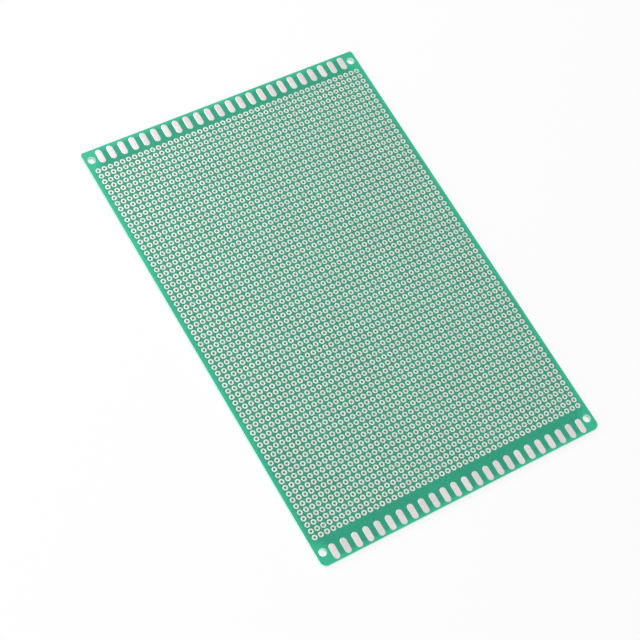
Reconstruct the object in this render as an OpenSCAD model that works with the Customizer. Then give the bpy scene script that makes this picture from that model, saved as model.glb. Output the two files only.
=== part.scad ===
// Perforated prototyping board: a single-sided glass-epoxy sheet with a grid of tinned ring pads
// round its lead holes, a row of oblong pads along each short end, and a screw hole in each corner.
//
// The board lies flat in the XY plane with its pads up. Its length runs along Y: "far" is the +Y
// end, "near" the -Y end. The origin is the middle of the underside. All sizes are in mm.

/* [Board] */
// Width across the board, along X
board_width = 120; // [60:1:140]
// Length of the board, along Y
board_length = 180; // [80:1:200]
// Thickness of the bare laminate
board_thickness = 1.6; // [0.8:0.1:3.2]
// Radius of the two corners at the far end
far_corner_radius = 1; // [0.5:0.1:3]
// Radius of the two corners at the near end
near_corner_radius = 2.4; // [0.5:0.1:3]

/* [Lead holes] */
// Distance between the centres of neighbouring lead holes
pitch = 2.54; // [2.54:0.01:5.08]
// Diameter of a lead hole
lead_hole_diameter = 1; // [0.6:0.05:1.2]
// Least distance from the outer columns' centres to the long edges
side_margin = 2.5; // [2:0.1:12]
// Distance from the first row's centres to the far edge
far_margin = 9.15; // [8.6:0.05:30]
// Least distance from the last row's centres to the near edge
near_margin = 10; // [8.6:0.1:30]

/* [Ring pads] */
// Outer diameter of a ring pad
ring_pad_diameter = 2; // [1.6:0.05:2.2]
// Height of the tinned copper above the laminate
pad_thickness = 0.06; // [0.04:0.01:0.15]

/* [End pads] */
// Width of an oblong pad, along X
end_pad_width = 2.4; // [1.5:0.1:3.6]
// Length of an oblong pad over its round ends, along Y
end_pad_length = 5.8; // [4:0.1:6.2]
// Distance between the centres of neighbouring oblong pads
end_pad_pitch = 4.65; // [4.2:0.05:8]
// Strip of board between the oblong pads and the far edge
end_pad_far_setback = 0.9; // [0.3:0.05:1]
// Strip of board between the oblong pads and the near edge
end_pad_near_setback = 0.65; // [0.3:0.05:1]
// Least distance from the outer oblong pads' centres to the long edges
end_pad_side_margin = 6; // [6:0.1:20]

/* [Corner holes] */
// Diameter of a corner hole
corner_hole_diameter = 3; // [2:0.1:3.2]
// Distance from the corner holes' centres to the long edges
corner_hole_side_margin = 2.65; // [2.4:0.05:2.8]
// Distance from the far corner holes' centres to the far edge
corner_hole_far_margin = 4.1; // [3:0.1:5]
// Distance from the near corner holes' centres to the near edge
corner_hole_near_margin = 5; // [3:0.1:6]

/* [Solder mask] */
// Thickness of the green film
mask_thickness = 0.03; // [0.02:0.005:0.05]
// Gap between the film and the rim of each pad and corner hole
mask_clearance = 0.05; // [0.03:0.01:0.15]

/* [Hidden] */
$fn = 24;

// Width and depth of the hairline groove that parts one row's strip of sheet from the next
hairline = 0.01;

columns = floor((board_width - 2 * side_margin) / pitch) + 1;
rows = floor((board_length - far_margin - near_margin) / pitch) + 1;
end_pads = floor((board_width - 2 * end_pad_side_margin) / end_pad_pitch) + 1;

top = board_thickness;
far_edge = board_length / 2;
near_edge = -board_length / 2;
side_edge = board_width / 2;

function column_x(i) = (i - (columns - 1) / 2) * pitch;
function row_y(j) = far_edge - far_margin - j * pitch;
function end_pad_x(k) = (k - (end_pads - 1) / 2) * end_pad_pitch;
function two_digits(n) = n < 10 ? str("0", n) : str(n);
function column_node(i) = str("pad_column_", two_digits(i + 1));

// ---- places -------------------------------------------------------------------------------------

module along_row(j) {
    for (i = [0 : columns - 1]) translate([column_x(i), row_y(j)]) children();
}

module along_column(i) {
    for (j = [0 : rows - 1]) translate([column_x(i), row_y(j)]) children();
}

// side is 1 at the far end and -1 at the near end
module along_end(side) {
    setback = side > 0 ? end_pad_far_setback : end_pad_near_setback;
    y = side * (far_edge - setback - end_pad_length / 2);
    for (k = [0 : end_pads - 1]) translate([end_pad_x(k), y]) children();
}

module at_corner_holes(side) {
    margin = side > 0 ? corner_hole_far_margin : corner_hole_near_margin;
    for (x = [-1, 1])
        translate([x * (side_edge - corner_hole_side_margin), side * (far_edge - margin)])
            children();
}

// ---- outlines -----------------------------------------------------------------------------------

module ring() {
    difference() {
        circle(d = ring_pad_diameter);
        circle(d = lead_hole_diameter);
    }
}

module stadium(width, length) {
    square([width, length - width], center = true);
    for (y = [-1, 1]) translate([0, y * (length - width) / 2]) circle(d = width);
}

// What rounding takes off the two corners at one end
module corner_waste(side) {
    r = side > 0 ? far_corner_radius : near_corner_radius;
    for (x = [-1, 1])
        translate([x * (side_edge - r), side * (far_edge - r)]) difference() {
            translate([x * r, side * r]) square(2 * r, center = true);
            circle(r);
        }
}

// The strip of sheet that holds row j. The first and last strips run on to the board's ends.
module row_strip(j) {
    upper = j == 0 ? far_edge : row_y(j) + (pitch - hairline) / 2;
    lower = j == rows - 1 ? near_edge : row_y(j) - (pitch - hairline) / 2;
    difference() {
        translate([-side_edge, lower]) square([board_width, upper - lower]);
        if (j == 0) corner_waste(1);
        if (j == rows - 1) corner_waste(-1);
    }
}

// ---- sheets -------------------------------------------------------------------------------------

// A sheet of the board's outline, pierced at every lead hole and corner hole. It is one strip for
// each row of holes, joined by webs that reach a hairline into both strips and leave a hairline
// groove between them on either face. children() pierces the two end strips further.
module pierced_sheet(thickness, lead_opening, corner_opening) {
    groove = min(hairline, thickness / 3);
    for (j = [0 : rows - 1])
        linear_extrude(thickness) difference() {
            row_strip(j);
            along_row(j) circle(d = lead_opening);
            if (j == 0) {
                at_corner_holes(1) circle(d = corner_opening);
                $side = 1;
                children();
            }
            if (j == rows - 1) {
                at_corner_holes(-1) circle(d = corner_opening);
                $side = -1;
                children();
            }
        }
    for (j = [0 : rows - 2])
        translate([-side_edge, row_y(j) - (pitch + 3 * hairline) / 2, groove])
            cube([board_width, 3 * hairline, thickness - 2 * groove]);
}

// ---- nodes --------------------------------------------------------------------------------------

module laminate() {
    color("#D3F0E2") pierced_sheet(board_thickness, lead_hole_diameter, corner_hole_diameter);
}

module solder_mask() {
    gap = 2 * mask_clearance;
    color("#1D9B7A") translate([0, 0, top])
        pierced_sheet(mask_thickness, ring_pad_diameter + gap, corner_hole_diameter + gap)
            along_end($side) stadium(end_pad_width + gap, end_pad_length + gap);
}

module end_pads_at(side) {
    color("#DAD3D1") translate([0, 0, top]) linear_extrude(pad_thickness)
        along_end(side) stadium(end_pad_width, end_pad_length);
}

module pad_column(i) {
    color("#DAD3D1") translate([0, 0, top]) linear_extrude(pad_thickness)
        along_column(i) ring();
}

laminate();
solder_mask();
end_pads_at(1);  // far_end_pads
end_pads_at(-1);  // near_end_pads
for (i = [0 : columns - 1]) pad_column(i);
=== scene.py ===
"""Dresses a bare prototyping board: a green glass-epoxy sheet with a grid of soldered ring pads.

The laminate and the solder mask are the CAD solids with their real finishes. The flat pads of the
CAD give way to pads with the crown that hot-air levelling leaves on them.
"""

import math

import bpy
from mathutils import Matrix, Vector


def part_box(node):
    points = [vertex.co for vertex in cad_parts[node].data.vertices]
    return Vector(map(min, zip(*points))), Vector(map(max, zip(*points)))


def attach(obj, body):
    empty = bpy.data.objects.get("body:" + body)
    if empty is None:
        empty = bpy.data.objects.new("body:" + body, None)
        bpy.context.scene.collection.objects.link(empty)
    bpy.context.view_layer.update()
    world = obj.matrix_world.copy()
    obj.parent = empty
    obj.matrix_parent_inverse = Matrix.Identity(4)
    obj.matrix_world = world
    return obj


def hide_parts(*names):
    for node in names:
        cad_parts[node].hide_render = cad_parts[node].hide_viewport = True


bl_info = {
    "name": "Prototyping board",
    "version": (1, 0, 0),
    "blender": (4, 5, 0),
    "location": "3D View > Sidebar > Board",
    "description": "Finishes a bare perforated circuit board and sets its stage",
    "category": "Object",
}

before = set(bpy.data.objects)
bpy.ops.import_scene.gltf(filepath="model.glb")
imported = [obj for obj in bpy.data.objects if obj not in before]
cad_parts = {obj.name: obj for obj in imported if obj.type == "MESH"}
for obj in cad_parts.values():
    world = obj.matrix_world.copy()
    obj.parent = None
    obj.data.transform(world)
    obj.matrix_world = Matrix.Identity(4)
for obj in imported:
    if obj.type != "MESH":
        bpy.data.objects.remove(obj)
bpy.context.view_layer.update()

MM = 0.001
NOISE_SPAN = (0.3, 0.7)  # a noise texture keeps between these nearly everywhere

# the grid and the pads
PITCH = 2.54 * MM  # lead holes take parts with leads a tenth of an inch apart
RING_POINTS = 16  # points round a ring pad, of which there are thousands
END_STEPS = 6  # steps in each quarter of an oblong pad's round end
SIDE_LEAN = 0.02 * MM  # how far a ring pad's outer side leans in as it rises
RING_SIDE, RING_SHOULDER = 0.6, 0.96  # heights of a ring's side and shoulder, its crown's being 1
CROWN_ROUND = 0.7  # width of the round into a lead hole, as a multiple of the shoulder setting
END_RISES = (0.5, 0.38, 0.12)  # shares of an oblong pad's height in its side, shoulder and crown
END_INSETS = (0.5, 2)  # widths of its shoulder and crown, as multiples of the shoulder setting
SMOOTH_ANGLE = math.radians(40)  # pads look round up to this angle and sharp past it
MERGE_REACH = 0.001 * MM  # points nearer than this are one

# the laminate
WEAVE = 0.6 * MM  # a yarn of the glass cloth in the laminate, and the gap beside it
RESIN_CLOUD = 9 * MM  # resin over the cloth pools in patches of this size
YARN_TONES = (0.86, 1.03)  # brightness of the darkest resin and of the palest yarn
GAP_TONE = 0.3  # where the gaps between the yarns stand, from the first of those to the second
UPRIGHT = 0.5  # a face is upright if its normal rises or falls less than this
WALL_REACH = 0.55 * MM  # a little over a lead hole's radius; the painted shade of the hole walls reaches this far from the axis

# the solder mask
FILM_CLOUD = 14 * MM  # the screen leaves more and less of the film in patches of this size
FILM_TONES = (0.94, 1.08)  # brightness of the film where it is thickest and thinnest
FILM_GRAIN = 0.35 * MM  # fine orange peel of the baked film
RIM_REACH = (1.1 * MM, 1.35 * MM)  # from a hole's axis to the darkest film, and to the even film
RIM_SHADE = 0.14  # painted shade: how much darker the film is made in a ring round each ring pad
# painted glow: the film is made lighter along the cut edges and in the corners, for light that the
# laminate takes in at its edges and lets out
EDGE_GLOW = (0.8 * MM, 2.2 * MM)  # how far in the film is lightest, and how far in that has faded
CORNER_GLOW = (5 * MM, 8 * MM)  # how far the lightest film of a corner goes, across and along
CORNER_FADE = 1.5  # a corner's glow has faded at this many times its reach
PAINTED_LIGHT_WAY = Vector((-0.75, 0.66, 0))  # painted light: the film is made lighter this way, towards the far left corner
PAINTED_LIGHT_REACH = 100 * MM  # how far from the board's middle, that way, the painted light is strongest
PAINTED_LIGHT_LIFT = 0.12  # how much lighter the film is there

# the solder
RIPPLE = 0.5 * MM  # solder freezes in ripples of this size
SOLDER_ROUGHNESS = (0.24, 0.44)  # in the smoothest of the ripples and in the dullest
SOLDER_CLOUD = 1.3 * MM  # levelled solder is brighter and duller in patches of this size
PATCHINESS = 0.4  # how far a patch strays from its pad's tone, from dullest to brightest being 1
DULLEST_PAD = 0.9  # brightness of the dullest pad, the brightest being 1

# the stage
FLOOR_SIZE = 6
FLOOR_GAP = 0.02 * MM  # keeps the floor's face apart from the board's underside
CLEAR_REACH = 0.1 * MM  # rays from the underside that are this short pass through the floor
BACKLIGHT = 0.7  # share of the floor's white that the eye gets straight from it
KEY_PLACE, KEY_SIZE = Vector((-0.22, 0.6, 0.6)), 0.9  # both lamps face the middle of the board
FILL_PLACE, FILL_SIZE = Vector((-0.7, -0.6, 0.25)), 0.7
CAMERA_PLACE = (-0.26045, -0.20546, 0.56615)
CAMERA_TURN = (27.242, -11.242, -30.698)  # degrees

PAD_COLUMNS = sorted(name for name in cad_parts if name.startswith("pad_column_"))
END_PADS = ("far_end_pads", "near_end_pads")


def linear(hex_colour):
    """An sRGB colour such as #2FAE82 as the three linear values that Blender's sockets take."""
    channels = (int(hex_colour[i : i + 2], 16) / 255 for i in (1, 3, 5))
    return tuple(c / 12.92 if c <= 0.04045 else ((c + 0.055) / 1.055) ** 2.4 for c in channels)


# ---- settings ------------------------------------------------------------------------------------


class BoardFinish(bpy.types.PropertyGroup):
    """Colours and surface of the board's own materials"""

    mask_colour: bpy.props.FloatVectorProperty(
        name="Solder mask",
        description="Green of the solder mask film on the open strips of the board",
        subtype="COLOR",
        size=3,
        min=0,
        max=1,
        default=linear("#189877"),
    )
    mask_grid_colour: bpy.props.FloatVectorProperty(
        name="Solder mask between pads",
        description="Duller green of the film between the ring pads",
        subtype="COLOR",
        size=3,
        min=0,
        max=1,
        default=linear("#2C9477"),
    )
    # painted glow: this lighter green stands in for light that the laminate lets out at its cut
    # edges
    mask_edge_glow_colour: bpy.props.FloatVectorProperty(
        name="Solder mask at the edges",
        description="Lighter green of the film along the cut edges and in the corners",
        subtype="COLOR",
        size=3,
        min=0,
        max=1,
        default=linear("#28B28C"),
    )
    laminate_colour: bpy.props.FloatVectorProperty(
        name="Laminate",
        description="Colour of the bare glass-epoxy sheet",
        subtype="COLOR",
        size=3,
        min=0,
        max=1,
        default=linear("#CBF2E2"),
    )
    # painted shade: this greyer colour stands in for the shade inside the narrow lead holes
    hole_wall_shade_colour: bpy.props.FloatVectorProperty(
        name="Hole walls",
        description="Colour of the drilled walls of the lead holes",
        subtype="COLOR",
        size=3,
        min=0,
        max=1,
        default=linear("#C8E2D4"),
    )
    solder_colour: bpy.props.FloatVectorProperty(
        name="Solder",
        description="Colour of the levelled solder on the oblong pads",
        subtype="COLOR",
        size=3,
        min=0,
        max=1,
        default=linear("#DFD9D8"),
    )
    # painted reflection: the green in this colour stands in for the film mirrored in the solder
    ring_green_reflection_colour: bpy.props.FloatVectorProperty(
        name="Ring solder",
        description="Colour of the solder on the ring pads, which picks up green from the film",
        subtype="COLOR",
        size=3,
        min=0,
        max=1,
        default=linear("#D8E3DA"),
    )


class PadShape(bpy.types.PropertyGroup):
    """Form of the levelled pads"""

    hole_diameter: bpy.props.FloatProperty(
        name="Lead hole",
        description="Diameter of a lead hole, which is also the inside of a ring pad",
        subtype="DISTANCE",
        unit="LENGTH",
        default=1.0 * MM,
    )
    shoulder: bpy.props.FloatProperty(
        name="Shoulder",
        description="How far in from its rim a pad rises to its crown",
        subtype="DISTANCE",
        unit="LENGTH",
        default=0.14 * MM,
    )


class StageSettings(bpy.types.PropertyGroup):
    """Floor, lamps and camera"""

    floor_colour: bpy.props.FloatVectorProperty(
        name="Floor",
        description="Colour of the floor that the board lies on",
        subtype="COLOR",
        size=3,
        min=0,
        max=1,
        default=linear("#FCFCFC"),
    )
    sky_strength: bpy.props.FloatProperty(
        name="Sky",
        description="Strength of the even light from all round",
        default=0.68,
        min=0,
    )
    key_power: bpy.props.FloatProperty(
        name="Key lamp",
        description="Power of the large softbox beyond the far end",
        subtype="POWER",
        unit="POWER",
        default=3.3,
        min=0,
    )
    fill_power: bpy.props.FloatProperty(
        name="Fill lamp",
        description="Power of the low softbox that lights the cut edges",
        subtype="POWER",
        unit="POWER",
        default=2.5,
        min=0,
    )
    camera_lens: bpy.props.FloatProperty(
        name="Lens",
        description="Focal length of the camera on a 36 mm sensor",
        subtype="DISTANCE_CAMERA",
        unit="CAMERA",
        default=100,
    )


# ---- helpers -------------------------------------------------------------------------------------


def add_node(tree, kind, inputs=None, **settings):
    """Adds a node, sets it up, and fills its inputs, each given by its name or its number, with
    values or links. Numbers tell apart inputs that share a name, such as those of a mix."""
    made = tree.nodes.new(kind)
    for name, value in settings.items():
        setattr(made, name, value)
    for name, value in (inputs or {}).items():
        if isinstance(value, bpy.types.NodeSocket):
            tree.links.new(value, made.inputs[name])
        else:
            made.inputs[name].default_value = value
    return made


def new_material(name):
    """An empty node material and its tree."""
    material = bpy.data.materials.new(name)
    material.use_nodes = True
    material.node_tree.nodes.clear()
    return material, material.node_tree


def rgba(colour):
    return (*colour, 1)


def put_on(obj, material):
    obj.data.materials.clear()
    obj.data.materials.append(material)


def only(obj):
    """Makes obj the one selected and active object."""
    bpy.ops.object.select_all(action="DESELECT")
    obj.select_set(True)
    bpy.context.view_layer.objects.active = obj


# ---- materials -----------------------------------------------------------------------------------


def solder_levelled_tin(pads, colour, centre, spacing):
    """Tin solder blown level with hot air: a bright metal whose crown ripples as it freezes, so
    each pad mirrors the room a little differently. It is a little patchy, and no pad is quite as
    bright as the next. Each pad lies in a cell of its own: spacing is the size of the cells, and
    centre is the middle of one."""
    material, tree = new_material("solder_levelled_tin_" + pads)
    place = add_node(tree, "ShaderNodeTexCoord").outputs["Object"]
    offset = add_node(
        tree, "ShaderNodeVectorMath", {0: place, 1: centre - spacing / 2}, operation="SUBTRACT"
    ).outputs[0]
    each = add_node(
        tree, "ShaderNodeVectorMath", {0: offset, 1: spacing}, operation="SNAP"
    ).outputs[0]
    shade = add_node(
        tree, "ShaderNodeTexWhiteNoise", {"Vector": each}, noise_dimensions="3D"
    ).outputs["Value"]
    cloud = add_node(
        tree, "ShaderNodeTexNoise", {"Vector": place, "Scale": 1 / SOLDER_CLOUD, "Detail": 2}
    ).outputs["Fac"]
    patches = add_node(
        tree,
        "ShaderNodeMapRange",
        {
            "Value": cloud,
            "From Min": NOISE_SPAN[0],
            "From Max": NOISE_SPAN[1],
            "To Min": -PATCHINESS,
            "To Max": PATCHINESS,
        },
    ).outputs["Result"]
    bright = add_node(tree, "ShaderNodeMath", {0: shade, 1: patches}, operation="ADD").outputs[0]
    tone = add_node(tree, "ShaderNodeValToRGB", {"Fac": bright})
    tone.color_ramp.elements[0].color = rgba([c * DULLEST_PAD for c in colour])
    tone.color_ramp.elements[1].color = rgba(colour)
    ripple = add_node(
        tree,
        "ShaderNodeTexNoise",
        {"Vector": place, "Scale": 1 / RIPPLE, "Detail": 3, "Roughness": 0.55},
    ).outputs["Fac"]
    rough = add_node(
        tree,
        "ShaderNodeMapRange",
        {"Value": ripple, "To Min": SOLDER_ROUGHNESS[0], "To Max": SOLDER_ROUGHNESS[1]},
    ).outputs["Result"]
    bump = add_node(
        tree,
        "ShaderNodeBump",
        {"Height": ripple, "Strength": 0.5, "Distance": 0.03 * MM},
    ).outputs["Normal"]
    shader = add_node(
        tree,
        "ShaderNodeBsdfPrincipled",
        {
            "Base Color": tone.outputs["Color"],
            "Metallic": 1,
            "Roughness": rough,
            "Normal": bump,
        },
    )
    add_node(tree, "ShaderNodeOutputMaterial", {"Surface": shader.outputs[0]})
    return material


def depth_inside(tree, place, low, high):
    """How deep a point lies inside a box: in from its nearer long side as X, and from its nearer
    short side as Y."""
    offset = add_node(
        tree, "ShaderNodeVectorMath", {0: place, 1: (low + high) / 2}, operation="SUBTRACT"
    ).outputs[0]
    either_side = add_node(
        tree, "ShaderNodeVectorMath", {0: offset}, operation="ABSOLUTE"
    ).outputs[0]
    return add_node(
        tree, "ShaderNodeVectorMath", {0: (high - low) / 2, 1: either_side}, operation="SUBTRACT"
    ).outputs[0]


def lesser(tree, vector):
    """The smaller of a vector's X and Y."""
    parts = add_node(tree, "ShaderNodeSeparateXYZ", {0: vector}).outputs
    return add_node(
        tree, "ShaderNodeMath", {0: parts["X"], 1: parts["Y"]}, operation="MINIMUM"
    ).outputs[0]


def among_pads(tree, place):
    """1 inside the rectangle that the ring pads fill, and 0 outside it."""
    low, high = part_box(PAD_COLUMNS[0])[0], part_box(PAD_COLUMNS[-1])[1]
    depth = lesser(tree, depth_inside(tree, place, low, high))
    return add_node(tree, "ShaderNodeMath", {0: depth, 1: 0}, operation="GREATER_THAN").outputs[0]


def from_lead_hole(tree, place):
    """Distance from the axis of the nearest lead hole. The holes stand on a square grid, and every
    point is brought to the same place beside the first of them."""
    low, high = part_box(PAD_COLUMNS[0])
    rim = (high.x - low.x) / 2
    first = Vector(((low.x + high.x) / 2, high.y - rim, 0))
    half = Vector((PITCH / 2, PITCH / 2, 1))
    nearest = add_node(
        tree,
        "ShaderNodeVectorMath",
        {0: place, 1: first + half, 2: first - half},
        operation="WRAP",
    ).outputs[0]
    offset = add_node(
        tree, "ShaderNodeVectorMath", {0: nearest, 1: first}, operation="SUBTRACT"
    ).outputs[0]
    flat = add_node(
        tree, "ShaderNodeVectorMath", {0: offset, 1: (1, 1, 0)}, operation="MULTIPLY"
    ).outputs[0]
    return add_node(tree, "ShaderNodeVectorMath", {0: flat}, operation="LENGTH").outputs["Value"]


def painted_hole_shade(tree, place):
    """1 on the walls of the lead holes and the hairline round them, which get painted shade, and 0
    elsewhere on the sheet."""
    near = add_node(
        tree,
        "ShaderNodeMath",
        {0: from_lead_hole(tree, place), 1: WALL_REACH},
        operation="LESS_THAN",
    ).outputs[0]
    return add_node(
        tree, "ShaderNodeMath", {0: near, 1: among_pads(tree, place)}, operation="MULTIPLY"
    ).outputs[0]


def pad_rim_shade(tree, place):
    """1 in a ring of painted shade just round each ring pad, falling to 0 further out."""
    near = add_node(
        tree,
        "ShaderNodeMapRange",
        {
            "Value": from_lead_hole(tree, place),
            "From Min": RIM_REACH[0],
            "From Max": RIM_REACH[1],
            "To Min": 1,
            "To Max": 0,
        },
    ).outputs["Result"]
    return add_node(
        tree, "ShaderNodeMath", {0: near, 1: among_pads(tree, place)}, operation="MULTIPLY"
    ).outputs[0]


def painted_edge_glow(tree, place):
    """1 along the cut edges and in the four corners, where the film gets a painted glow for the
    light that the laminate lets out there, falling to 0 towards the pads."""
    depth = depth_inside(tree, place, *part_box("laminate"))
    edge = add_node(
        tree,
        "ShaderNodeMapRange",
        {
            "Value": lesser(tree, depth),
            "From Min": EDGE_GLOW[0],
            "From Max": EDGE_GLOW[1],
            "To Min": 1,
            "To Max": 0,
        },
    ).outputs["Result"]
    sized = add_node(
        tree,
        "ShaderNodeVectorMath",
        {0: depth, 1: (1 / CORNER_GLOW[0], 1 / CORNER_GLOW[1], 0)},
        operation="MULTIPLY",
    ).outputs[0]
    reach = add_node(tree, "ShaderNodeVectorMath", {0: sized}, operation="LENGTH").outputs["Value"]
    corner = add_node(
        tree,
        "ShaderNodeMapRange",
        {"Value": reach, "From Min": 1, "From Max": CORNER_FADE, "To Min": 1, "To Max": 0},
    ).outputs["Result"]
    return add_node(tree, "ShaderNodeMath", {0: edge, 1: corner}, operation="MAXIMUM").outputs[0]


def glass_epoxy(finish):
    """Woven-glass epoxy laminate, pressed and then drilled and cut: matt, pale and a little green,
    with the crossing yarns of the cloth just visible through the resin of its flat faces. The cut
    edges are even and paler. The walls of the lead holes are made greyer than the cut edges, as
    painted shade inside the narrow holes."""
    material, tree = new_material("glass_epoxy_laminate")
    spot = add_node(tree, "ShaderNodeTexCoord").outputs
    place = spot["Object"]
    yarns = []
    for direction in ("X", "Y"):
        yarns.append(
            add_node(
                tree,
                "ShaderNodeTexWave",
                {
                    "Vector": place,
                    "Scale": math.pi / (10 * WEAVE),  # its bands lie pi / (10 * scale) apart
                    "Distortion": 0.6,
                    "Detail": 1,
                },
                bands_direction=direction,
            ).outputs["Fac"]
        )
    cloth = add_node(
        tree, "ShaderNodeMath", {0: yarns[0], 1: yarns[1]}, operation="MULTIPLY"
    ).outputs[0]
    facing = add_node(tree, "ShaderNodeSeparateXYZ", {0: spot["Normal"]}).outputs["Z"]
    upright = add_node(
        tree, "ShaderNodeMath", {0: facing, 1: 0, 2: UPRIGHT}, operation="COMPARE"
    ).outputs[0]
    weave = add_node(
        tree, "ShaderNodeMath", {0: cloth, 1: upright}, operation="MAXIMUM"
    ).outputs[0]
    cloud = add_node(
        tree,
        "ShaderNodeTexNoise",
        {"Vector": place, "Scale": 1 / RESIN_CLOUD, "Detail": 3},
    ).outputs["Fac"]
    mixed = add_node(
        tree, "ShaderNodeMath", {0: weave, 1: cloud, 2: GAP_TONE}, operation="MULTIPLY_ADD"
    ).outputs[0]
    tone = add_node(tree, "ShaderNodeValToRGB", {"Fac": mixed})
    for element, brightness in zip(tone.color_ramp.elements, YARN_TONES):
        element.color = rgba([min(1, c * brightness) for c in finish.laminate_colour])
    # the walls of the lead holes get painted shade
    seen = add_node(
        tree,
        "ShaderNodeMix",
        {
            0: painted_hole_shade(tree, place),
            6: tone.outputs["Color"],
            7: rgba(finish.hole_wall_shade_colour),
        },
        data_type="RGBA",
    ).outputs[2]
    bump = add_node(
        tree,
        "ShaderNodeBump",
        {"Height": weave, "Strength": 0.35, "Distance": 0.02 * MM},
    ).outputs["Normal"]
    shader = add_node(
        tree,
        "ShaderNodeBsdfPrincipled",
        {
            "Base Color": seen,
            "Roughness": 0.48,
            "IOR": 1.55,
            "Normal": bump,
        },
    )
    add_node(tree, "ShaderNodeOutputMaterial", {"Surface": shader.outputs[0]})
    return material


def solder_mask_film(finish):
    """Liquid photo-imaged solder mask, screened on and baked: a satin green epoxy film with slight
    clouds where it lies thicker. It has painted light towards the far left corner, which is made
    lighter. It is duller between the ring pads, with painted shade in a ring round each one, and it
    has a painted glow along the cut edges and in the corners, for the light that the laminate takes
    in at its edges and lets out again."""
    material, tree = new_material("photo_imaged_solder_mask")
    place = add_node(tree, "ShaderNodeTexCoord").outputs["Object"]
    green = rgba(finish.mask_colour)
    # the film between the pads is duller, and it gets a painted glow along the edges and in the
    # corners
    for where, shade in (
        (among_pads, finish.mask_grid_colour),
        (painted_edge_glow, finish.mask_edge_glow_colour),
    ):
        green = add_node(
            tree,
            "ShaderNodeMix",
            {0: where(tree, place), 6: green, 7: rgba(shade)},
            data_type="RGBA",
        ).outputs[2]
    cloud = add_node(
        tree,
        "ShaderNodeTexNoise",
        {"Vector": place, "Scale": 1 / FILM_CLOUD, "Detail": 4, "Roughness": 0.5},
    ).outputs["Fac"]
    clouds = add_node(
        tree,
        "ShaderNodeMapRange",
        {
            "Value": cloud,
            "From Min": NOISE_SPAN[0],
            "From Max": NOISE_SPAN[1],
            "To Min": FILM_TONES[0],
            "To Max": FILM_TONES[1],
        },
    ).outputs["Result"]
    # painted light: the film is made lighter towards the far left corner
    along = add_node(
        tree, "ShaderNodeVectorMath", {0: place, 1: PAINTED_LIGHT_WAY}, operation="DOT_PRODUCT"
    ).outputs["Value"]
    painted_far_light = add_node(
        tree,
        "ShaderNodeMapRange",
        {
            "Value": along,
            "From Min": 0,
            "From Max": PAINTED_LIGHT_REACH,
            "To Min": 0,
            "To Max": PAINTED_LIGHT_LIFT,
        },
    ).outputs["Result"]
    level = add_node(tree, "ShaderNodeMath", {0: clouds, 1: painted_far_light}, operation="ADD").outputs[0]
    # painted shade in a ring round each ring pad
    depth = add_node(
        tree,
        "ShaderNodeMath",
        {0: pad_rim_shade(tree, place), 1: -RIM_SHADE, 2: level},
        operation="MULTIPLY_ADD",
    ).outputs[0]
    clouded = add_node(
        tree, "ShaderNodeVectorMath", {0: green, "Scale": depth}, operation="SCALE"
    ).outputs[0]
    grain = add_node(
        tree,
        "ShaderNodeTexNoise",
        {"Vector": place, "Scale": 1 / FILM_GRAIN, "Detail": 2},
    ).outputs["Fac"]
    bump = add_node(
        tree,
        "ShaderNodeBump",
        {"Height": grain, "Strength": 0.25, "Distance": 0.01 * MM},
    ).outputs["Normal"]
    shader = add_node(
        tree,
        "ShaderNodeBsdfPrincipled",
        {
            "Base Color": clouded,
            "Roughness": 0.36,
            "IOR": 1.46,
            "Normal": bump,
        },
    )
    add_node(tree, "ShaderNodeOutputMaterial", {"Surface": shader.outputs[0]})
    return material


def seen_by_eye(tree):
    """1 for rays from the eye, whether straight or by way of metal or glass, and 0 for the rays
    that gather light."""
    path = add_node(tree, "ShaderNodeLightPath").outputs
    eye = path["Is Camera Ray"]
    for ray in ("Is Glossy Ray", "Is Transmission Ray"):
        eye = add_node(
            tree, "ShaderNodeMath", {0: eye, 1: path[ray]}, operation="MAXIMUM"
        ).outputs[0]
    return eye


def white_floor(colour):
    """Matt white card, lit from behind as on a light table: the eye gets part of its white straight
    from the card, and the rest carries the board's soft shadow. Beneath the ring pads there is no
    light behind it, so the lead holes look as deep as they are. It is clear from beneath and to the
    rays that leave the board's underside, so a view from below shows that side in even light."""
    material, tree = new_material("white_card")
    card = add_node(
        tree, "ShaderNodeBsdfPrincipled", {"Base Color": rgba(colour), "Roughness": 0.9}
    )
    glow = add_node(tree, "ShaderNodeEmission", {"Color": (1, 1, 1, 1), "Strength": 1})
    place = add_node(tree, "ShaderNodeTexCoord").outputs["Object"]
    backlit = add_node(
        tree,
        "ShaderNodeMapRange",
        {"Value": among_pads(tree, place), "To Min": BACKLIGHT, "To Max": 0},
    ).outputs["Result"]
    share = add_node(
        tree, "ShaderNodeMath", {0: seen_by_eye(tree), 1: backlit}, operation="MULTIPLY"
    ).outputs[0]
    above = add_node(
        tree, "ShaderNodeMixShader", {0: share, 1: card.outputs[0], 2: glow.outputs[0]}
    )
    length = add_node(tree, "ShaderNodeLightPath").outputs["Ray Length"]
    short = add_node(
        tree, "ShaderNodeMath", {0: length, 1: CLEAR_REACH}, operation="LESS_THAN"
    ).outputs[0]
    beneath = add_node(tree, "ShaderNodeNewGeometry").outputs["Backfacing"]
    clear = add_node(
        tree, "ShaderNodeMath", {0: short, 1: beneath}, operation="MAXIMUM"
    ).outputs[0]
    nothing = add_node(tree, "ShaderNodeBsdfTransparent")
    shader = add_node(
        tree, "ShaderNodeMixShader", {0: clear, 1: above.outputs[0], 2: nothing.outputs[0]}
    )
    add_node(tree, "ShaderNodeOutputMaterial", {"Surface": shader.outputs[0]})
    return material


# ---- operators -----------------------------------------------------------------------------------


class BOARD_OT_laminate(bpy.types.Operator):
    """Gives the drilled sheet its glass-epoxy finish"""

    bl_idname = "board.laminate"
    bl_label = "Laminate"

    def execute(self, context):
        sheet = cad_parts["laminate"]
        put_on(sheet, glass_epoxy(context.scene.board_finish))
        return {"FINISHED"}


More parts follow.
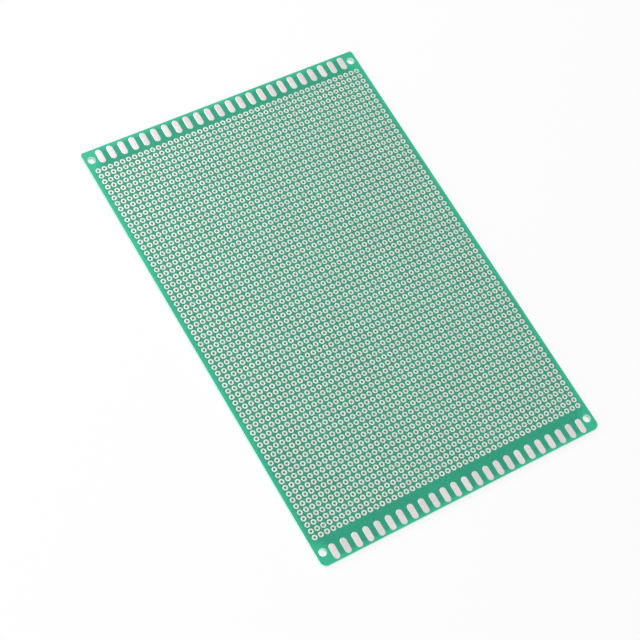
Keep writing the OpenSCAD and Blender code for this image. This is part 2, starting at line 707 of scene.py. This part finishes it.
class BOARD_OT_solder_mask(bpy.types.Operator):
    """Gives the film its green"""

    bl_idname = "board.solder_mask"
    bl_label = "Solder mask"

    def execute(self, context):
        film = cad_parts["solder_mask"]
        put_on(film, solder_mask_film(context.scene.board_finish))
        return {"FINISHED"}


class BOARD_OT_ring_pads(bpy.types.Operator):
    """Models one crowned ring pad, repeats it down a column and copies the column across"""

    bl_idname = "board.ring_pads"
    bl_label = "Ring pads"

    def execute(self, context):
        shape = context.scene.pad_shape
        low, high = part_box(PAD_COLUMNS[0])
        rim = (high.x - low.x) / 2
        hole = shape.hole_diameter / 2
        height = high.z - low.z
        rows = round((high.y - low.y - 2 * rim) / PITCH) + 1
        first = Vector(((low.x + high.x) / 2, high.y - rim, low.z))

        bpy.ops.object.select_all(action="DESELECT")
        bpy.ops.mesh.primitive_circle_add(
            vertices=RING_POINTS, radius=rim, fill_type="NOTHING", location=first
        )
        column = context.object
        bpy.ops.object.transform_apply(location=True, rotation=True, scale=True)
        bpy.ops.object.mode_set(mode="EDIT")
        bpy.ops.mesh.select_all(action="SELECT")
        loops = (
            (rim - SIDE_LEAN, RING_SIDE * height),
            (rim - shape.shoulder, RING_SHOULDER * height),
            (hole + CROWN_ROUND * shape.shoulder, height),
            (hole, RING_SIDE * height),
            (hole, 0),
        )
        radius, level = rim, 0
        for next_radius, next_level in loops:
            bpy.ops.mesh.extrude_edges_indiv()
            scale = next_radius / radius
            bpy.ops.transform.resize(value=(scale, scale, 1), center_override=first)
            bpy.ops.transform.translate(value=(0, 0, next_level - level))
            radius, level = next_radius, next_level
        bpy.ops.mesh.select_all(action="DESELECT")
        bpy.ops.object.mode_set(mode="OBJECT")
        # the two loops at the foot of the ring are joined by its flat underside
        for vertex in column.data.vertices:
            vertex.select = vertex.co.z < first.z + height / 10
        for edge in column.data.edges:
            edge.select = all(column.data.vertices[v].select for v in edge.vertices)
        bpy.ops.object.mode_set(mode="EDIT")
        bpy.ops.mesh.bridge_edge_loops()
        bpy.ops.mesh.select_all(action="SELECT")
        bpy.ops.mesh.normals_make_consistent(inside=False)
        bpy.ops.object.mode_set(mode="OBJECT")
        bpy.ops.object.shade_smooth_by_angle(angle=SMOOTH_ANGLE)

        bpy.ops.object.modifier_add(type="ARRAY")
        repeat = column.modifiers[-1]
        repeat.count = rows
        repeat.use_relative_offset = False
        repeat.use_constant_offset = True
        repeat.constant_offset_displace = (0, -PITCH, 0)
        bpy.ops.object.modifier_apply(modifier=repeat.name)

        spacing = Vector((PITCH, PITCH, 1))
        # its green is a painted reflection of the film
        colour = context.scene.board_finish.ring_green_reflection_colour
        put_on(column, solder_levelled_tin("ring", colour, first, spacing))
        columns = [column]
        for node in PAD_COLUMNS[1:]:
            only(column)
            bpy.ops.object.duplicate()
            low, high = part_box(node)
            bpy.ops.transform.translate(value=((low.x + high.x) / 2 - first.x, 0, 0))
            bpy.ops.object.transform_apply(location=True, rotation=True, scale=True)
            columns.append(context.object)
        for piece, node in zip(columns, PAD_COLUMNS):
            piece.name = node.replace("pad_column", "ring_pads")
            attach(piece, "root")
            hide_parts(node)
        return {"FINISHED"}


class BOARD_OT_end_pads(bpy.types.Operator):
    """Models one crowned oblong pad and repeats it along both short ends"""

    bl_idname = "board.end_pads"
    bl_label = "End pads"

    pad_pitch: bpy.props.FloatProperty(
        name="Pitch",
        description="Distance between the centres of neighbouring oblong pads",
        subtype="DISTANCE",
        unit="LENGTH",
        default=4.65 * MM,
    )
    pad_width: bpy.props.FloatProperty(
        name="Width",
        description="Width of an oblong pad",
        subtype="DISTANCE",
        unit="LENGTH",
        default=2.4 * MM,
    )

    def execute(self, context):
        shape = context.scene.pad_shape
        far, near = (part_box(node)[0] for node in END_PADS)
        centre = far + Vector((self.pad_width / 2, 0, 0))
        spacing = Vector((self.pad_pitch, far.y - near.y, 1))
        colour = context.scene.board_finish.solder_colour
        tin = solder_levelled_tin("oblong", colour, centre, spacing)
        for node in END_PADS:
            low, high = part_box(node)
            height = high.z - low.z
            length = high.y - low.y
            count = round((high.x - low.x - self.pad_width) / self.pad_pitch) + 1
            first = Vector((low.x + self.pad_width / 2, (low.y + high.y) / 2, low.z))

            bpy.ops.object.select_all(action="DESELECT")
            bpy.ops.mesh.primitive_plane_add(size=1, location=first)
            row = context.object
            row.scale = (self.pad_width, length, 1)
            bpy.ops.object.transform_apply(location=True, rotation=True, scale=True)
            bpy.ops.object.mode_set(mode="EDIT")
            bpy.ops.mesh.select_all(action="SELECT")
            bpy.ops.mesh.bevel(
                affect="VERTICES",
                offset=self.pad_width / 2,
                offset_type="OFFSET",
                segments=END_STEPS,
            )
            bpy.ops.mesh.select_all(action="SELECT")
            bpy.ops.mesh.remove_doubles(threshold=MERGE_REACH)
            side, *rises = (share * height for share in END_RISES)
            bpy.ops.mesh.extrude_region_move(TRANSFORM_OT_translate={"value": (0, 0, side)})
            for inset, rise in zip(END_INSETS, rises):
                bpy.ops.mesh.inset(thickness=inset * shape.shoulder, depth=rise)
            bpy.ops.mesh.select_all(action="SELECT")
            bpy.ops.mesh.region_to_loop()
            bpy.ops.mesh.edge_face_add()
            bpy.ops.mesh.select_all(action="SELECT")
            bpy.ops.mesh.normals_make_consistent(inside=False)
            bpy.ops.object.mode_set(mode="OBJECT")
            bpy.ops.object.shade_smooth_by_angle(angle=SMOOTH_ANGLE)

            bpy.ops.object.modifier_add(type="ARRAY")
            repeat = row.modifiers[-1]
            repeat.count = count
            repeat.use_relative_offset = False
            repeat.use_constant_offset = True
            repeat.constant_offset_displace = (self.pad_pitch, 0, 0)
            bpy.ops.object.modifier_apply(modifier=repeat.name)

            put_on(row, tin)
            row.name = "levelled_" + node
            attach(row, "root")
            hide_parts(node)
        return {"FINISHED"}


class BOARD_OT_stage(bpy.types.Operator):
    """Sets the floor, the lamps, the sky and the camera"""

    bl_idname = "board.stage"
    bl_label = "Stage"

    def execute(self, context):
        stage = context.scene.stage_settings
        bpy.ops.object.select_all(action="DESELECT")
        bpy.ops.mesh.primitive_plane_add(size=FLOOR_SIZE, location=(0, 0, -FLOOR_GAP))
        floor = context.object
        floor.name = "floor"
        put_on(floor, white_floor(stage.floor_colour))

        softboxes = (
            ("key_lamp", KEY_PLACE, KEY_SIZE, stage.key_power),
            ("fill_lamp", FILL_PLACE, FILL_SIZE, stage.fill_power),
        )
        for name, place, size, power in softboxes:
            bpy.ops.object.light_add(type="AREA", location=place)
            lamp = context.object
            lamp.name = name
            lamp.data.shape = "DISK"
            lamp.data.size = size
            lamp.data.energy = power
            lamp.rotation_euler = (-place).to_track_quat("-Z", "Y").to_euler()

        world = bpy.data.worlds.new("studio")
        context.scene.world = world
        world.use_nodes = True
        tree = world.node_tree
        tree.nodes.clear()
        lit = add_node(
            tree, "ShaderNodeBackground", {"Color": (1, 1, 1, 1), "Strength": stage.sky_strength}
        )
        shown = add_node(tree, "ShaderNodeBackground", {"Color": (1, 1, 1, 1), "Strength": 1})
        mixed = add_node(
            tree,
            "ShaderNodeMixShader",
            {0: seen_by_eye(tree), 1: lit.outputs[0], 2: shown.outputs[0]},
        )
        add_node(tree, "ShaderNodeOutputWorld", {"Surface": mixed.outputs[0]})

        bpy.ops.object.camera_add(
            location=CAMERA_PLACE, rotation=[math.radians(a) for a in CAMERA_TURN]
        )
        camera = context.object
        camera.data.lens = stage.camera_lens
        camera.data.sensor_width = 36
        camera.data.clip_start = 0.01
        context.scene.camera = camera
        context.scene.view_settings.view_transform = "Standard"
        return {"FINISHED"}


class BOARD_PT_panel(bpy.types.Panel):
    """Lists the board's settings and the buttons for its steps"""

    bl_idname = "BOARD_PT_panel"
    bl_label = "Prototyping board"
    bl_space_type = "VIEW_3D"
    bl_region_type = "UI"
    bl_category = "Board"

    def draw(self, context):
        for group in ("board_finish", "pad_shape", "stage_settings"):
            settings = getattr(context.scene, group)
            for name in settings.bl_rna.properties.keys():
                if name not in ("rna_type", "name"):
                    self.layout.prop(settings, name)
        for step in STEPS:
            self.layout.operator(step.bl_idname)


SETTINGS = {
    "board_finish": BoardFinish,
    "pad_shape": PadShape,
    "stage_settings": StageSettings,
}
STEPS = (
    BOARD_OT_laminate,
    BOARD_OT_solder_mask,
    BOARD_OT_ring_pads,
    BOARD_OT_end_pads,
    BOARD_OT_stage,
)
CLASSES = (*SETTINGS.values(), *STEPS, BOARD_PT_panel)


def register():
    for made in CLASSES:
        bpy.utils.register_class(made)
    for name, group in SETTINGS.items():
        setattr(bpy.types.Scene, name, bpy.props.PointerProperty(type=group))


def unregister():
    for name in SETTINGS:
        delattr(bpy.types.Scene, name)
    for made in reversed(CLASSES):
        bpy.utils.unregister_class(made)


def main():
    register()
    bpy.ops.board.laminate()
    bpy.ops.board.solder_mask()
    bpy.ops.board.ring_pads()
    bpy.ops.board.end_pads()
    bpy.ops.board.stage()


if __name__ == "__main__":
    main()
